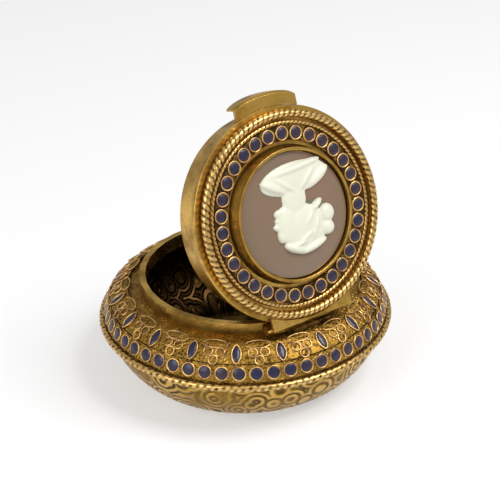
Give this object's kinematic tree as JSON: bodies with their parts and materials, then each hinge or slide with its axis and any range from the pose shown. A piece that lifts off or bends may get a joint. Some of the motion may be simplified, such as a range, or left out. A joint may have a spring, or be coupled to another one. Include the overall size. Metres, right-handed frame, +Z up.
{
  "type": "trinket box",
  "caption": "Round gilt trinket box with a hinged plug lid that carries a framed cameo, filigree bands and rope borders.",
  "frame": {"origin": "under the centre of the foot, on the surface that the box stands on", "axes": "+Z up, +Y towards the hinge, -Y towards the thumb lip, at rest with the lid open as in the picture"},
  "size_m": [0.065, 0.065, 0.0679],
  "materials": {
    "gilt": "polished, worn gilding",
    "aged_gilt": "aged, darker in the hollows",
    "rope": "bright on the strands",
    "enamel": "glossy dark blue to purple",
    "cameo_ground": "polished brown shell",
    "cameo_relief": "satin cream shell"
  },
  "bodies": {
    "box_body": {"base_plate": "aged_gilt", "lower_bowl": "aged_gilt", "girdle_rope": "rope", "shoulder_shell": "aged_gilt", "shoulder_cells": "enamel", "shoulder_eyes": "enamel", "mouth_collar": "gilt", "body_knuckle_left": "gilt", "body_knuckle_middle": "gilt", "body_knuckle_right": "gilt", "hinge_pin": "gilt", "hinge_bearer": "aged_gilt"},
    "lid": {"lid_plate": "aged_gilt", "plug_band": "gilt", "outer_rope": "rope", "inner_rope": "rope", "lid_cells": "enamel", "bezel": "gilt", "cameo_bed": "cameo_ground", "cameo_ground": "cameo_ground", "cameo_relief": "cameo_relief", "thumb_lip": "gilt", "hinge_leaf": "gilt", "lid_knuckle_left": "gilt", "lid_knuckle_right": "gilt"}
  },
  "joints": [
    {"name": "lid_hinge", "type": "hinge", "parent": "box_body", "child": "lid", "pos_m": [0, 0.02243, 0.02224], "axis": [-1, 0, 0], "range_deg": [-70.35, 25]}
  ]
}
